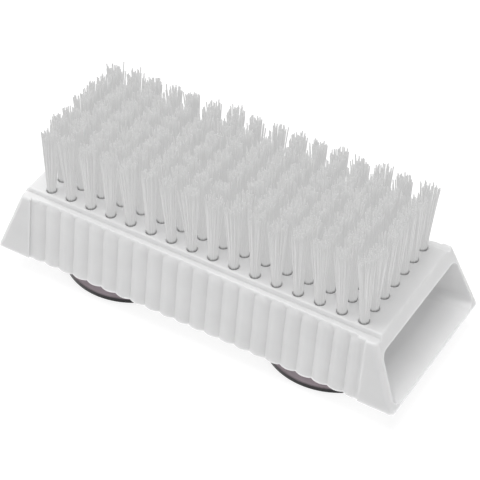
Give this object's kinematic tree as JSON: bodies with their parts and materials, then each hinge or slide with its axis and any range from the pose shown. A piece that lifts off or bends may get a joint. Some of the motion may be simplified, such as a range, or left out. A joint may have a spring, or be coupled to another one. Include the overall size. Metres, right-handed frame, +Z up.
{
  "type": "acrylic nail brush",
  "caption": "Nail scrubbing brush: a moulded block with ribbed sides and a finger pocket in each end, rows of nylon bristle tufts on its deck and two suction cups underneath.",
  "frame": {"origin": "under the block's centre, on the plane of the suction cups' rims", "axes": "+X along the block's length, +Y across it, +Z up through the bristles"},
  "size_m": [0.0966, 0.038, 0.0392],
  "materials": {
    "block_plastic": "white moulded acrylic-type plastic, satin, slightly translucent",
    "bristle_nylon": "frosted clear nylon filament, trimmed square",
    "anchor_metal": "plain drawn strip",
    "cup_vinyl": "soft clear vinyl, smoky, glossy"
  },
  "bodies": {
    "block": {"brush_block": "block_plastic", "tuft_column_01": "bristle_nylon", "tuft_column_02": "bristle_nylon", "tuft_column_03": "bristle_nylon", "tuft_column_04": "bristle_nylon", "tuft_column_05": "bristle_nylon", "tuft_column_06": "bristle_nylon", "tuft_column_07": "bristle_nylon", "tuft_column_08": "bristle_nylon", "tuft_column_09": "bristle_nylon", "tuft_column_10": "bristle_nylon", "tuft_column_11": "bristle_nylon", "tuft_column_12": "bristle_nylon", "tuft_column_13": "bristle_nylon", "tuft_column_14": "bristle_nylon", "tuft_column_15": "bristle_nylon", "tuft_column_16": "bristle_nylon", "anchor_column_01": "anchor_metal", "anchor_column_02": "anchor_metal", "anchor_column_03": "anchor_metal", "anchor_column_04": "anchor_metal", "anchor_column_05": "anchor_metal", "anchor_column_06": "anchor_metal", "anchor_column_07": "anchor_metal", "anchor_column_08": "anchor_metal", "anchor_column_09": "anchor_metal", "anchor_column_10": "anchor_metal", "anchor_column_11": "anchor_metal", "anchor_column_12": "anchor_metal", "anchor_column_13": "anchor_metal", "anchor_column_14": "anchor_metal", "anchor_column_15": "anchor_metal", "anchor_column_16": "anchor_metal"},
    "left_cup": {"suction_cup_left": "cup_vinyl"},
    "right_cup": {"suction_cup_right": "cup_vinyl"}
  },
  "joints": [
    {"name": "left_cup_swivel", "type": "hinge", "parent": "block", "child": "left_cup", "pos_m": [-0.0253, 0, 0.007], "axis": [0, 0, 1], "continuous": true},
    {"name": "right_cup_swivel", "type": "hinge", "parent": "block", "child": "right_cup", "pos_m": [0.0253, 0, 0.007], "axis": [0, 0, 1], "continuous": true}
  ]
}
